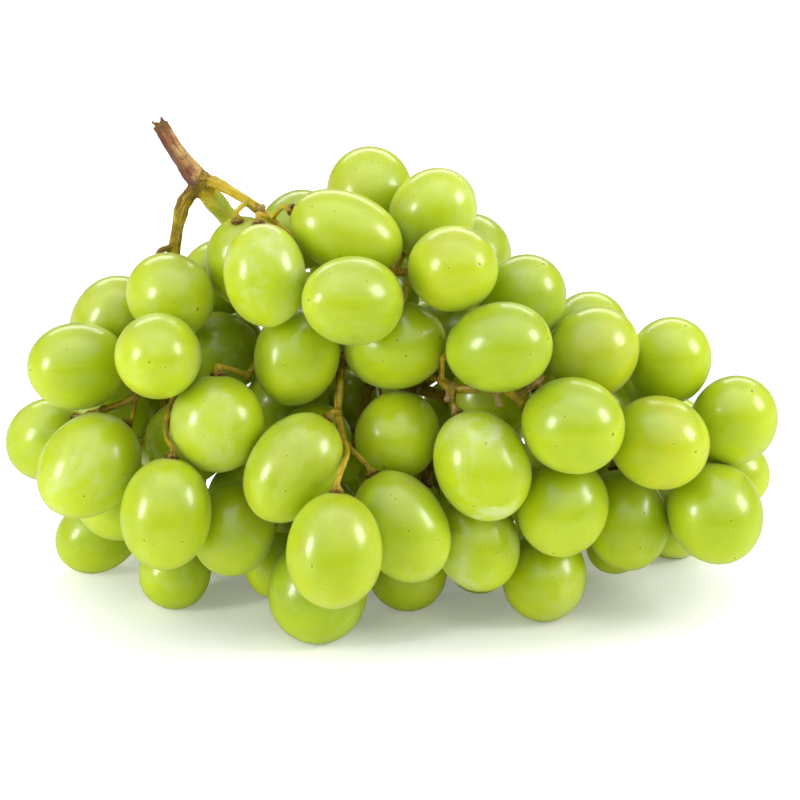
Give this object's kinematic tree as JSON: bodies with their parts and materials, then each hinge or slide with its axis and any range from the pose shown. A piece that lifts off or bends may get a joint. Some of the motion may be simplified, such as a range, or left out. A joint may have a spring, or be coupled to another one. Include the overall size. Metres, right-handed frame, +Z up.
{
  "type": "bunch of grapes",
  "caption": "Bunch of green table grapes lying on its side, with oval berries carried by a branching woody stem that sticks out at one end.",
  "frame": {"origin": "middle of the bunch's box on the surface that it lies on", "axes": "+X from the cut stem's end towards the tip of the bunch, -Y towards the side with the best view of the berries, +Z up"},
  "size_m": [0.1912, 0.1132, 0.1172],
  "materials": {
    "grape_skin": "translucent yellow-green skin with a pale waxy bloom and small brown specks",
    "stem_bark": "tan and olive woody stem, browner at its joints and cut end"
  },
  "bodies": {
    "root": {"berry_01": "grape_skin", "berry_02": "grape_skin", "berry_03": "grape_skin", "berry_04": "grape_skin", "berry_05": "grape_skin", "berry_06": "grape_skin", "berry_07": "grape_skin", "berry_08": "grape_skin", "berry_09": "grape_skin", "berry_10": "grape_skin", "berry_11": "grape_skin", "berry_12": "grape_skin", "berry_13": "grape_skin", "berry_14": "grape_skin", "berry_15": "grape_skin", "berry_16": "grape_skin", "berry_17": "grape_skin", "berry_18": "grape_skin", "berry_19": "grape_skin", "berry_20": "grape_skin", "berry_21": "grape_skin", "berry_22": "grape_skin", "berry_23": "grape_skin", "berry_24": "grape_skin", "berry_25": "grape_skin", "berry_26": "grape_skin", "berry_27": "grape_skin", "berry_28": "grape_skin", "berry_29": "grape_skin", "berry_30": "grape_skin", "berry_31": "grape_skin", "berry_32": "grape_skin", "berry_33": "grape_skin", "berry_34": "grape_skin", "berry_35": "grape_skin", "berry_36": "grape_skin", "berry_37": "grape_skin", "berry_38": "grape_skin", "berry_39": "grape_skin", "berry_40": "grape_skin", "berry_41": "grape_skin", "berry_42": "grape_skin", "berry_43": "grape_skin", "berry_44": "grape_skin", "berry_45": "grape_skin", "berry_46": "grape_skin", "berry_47": "grape_skin", "berry_48": "grape_skin", "berry_49": "grape_skin", "berry_50": "grape_skin", "berry_51": "grape_skin", "berry_52": "grape_skin", "berry_53": "grape_skin", "berry_54": "grape_skin", "berry_55": "grape_skin", "berry_56": "grape_skin", "berry_57": "grape_skin", "berry_58": "grape_skin", "berry_59": "grape_skin", "stem": "stem_bark"}
  },
  "joints": []
}
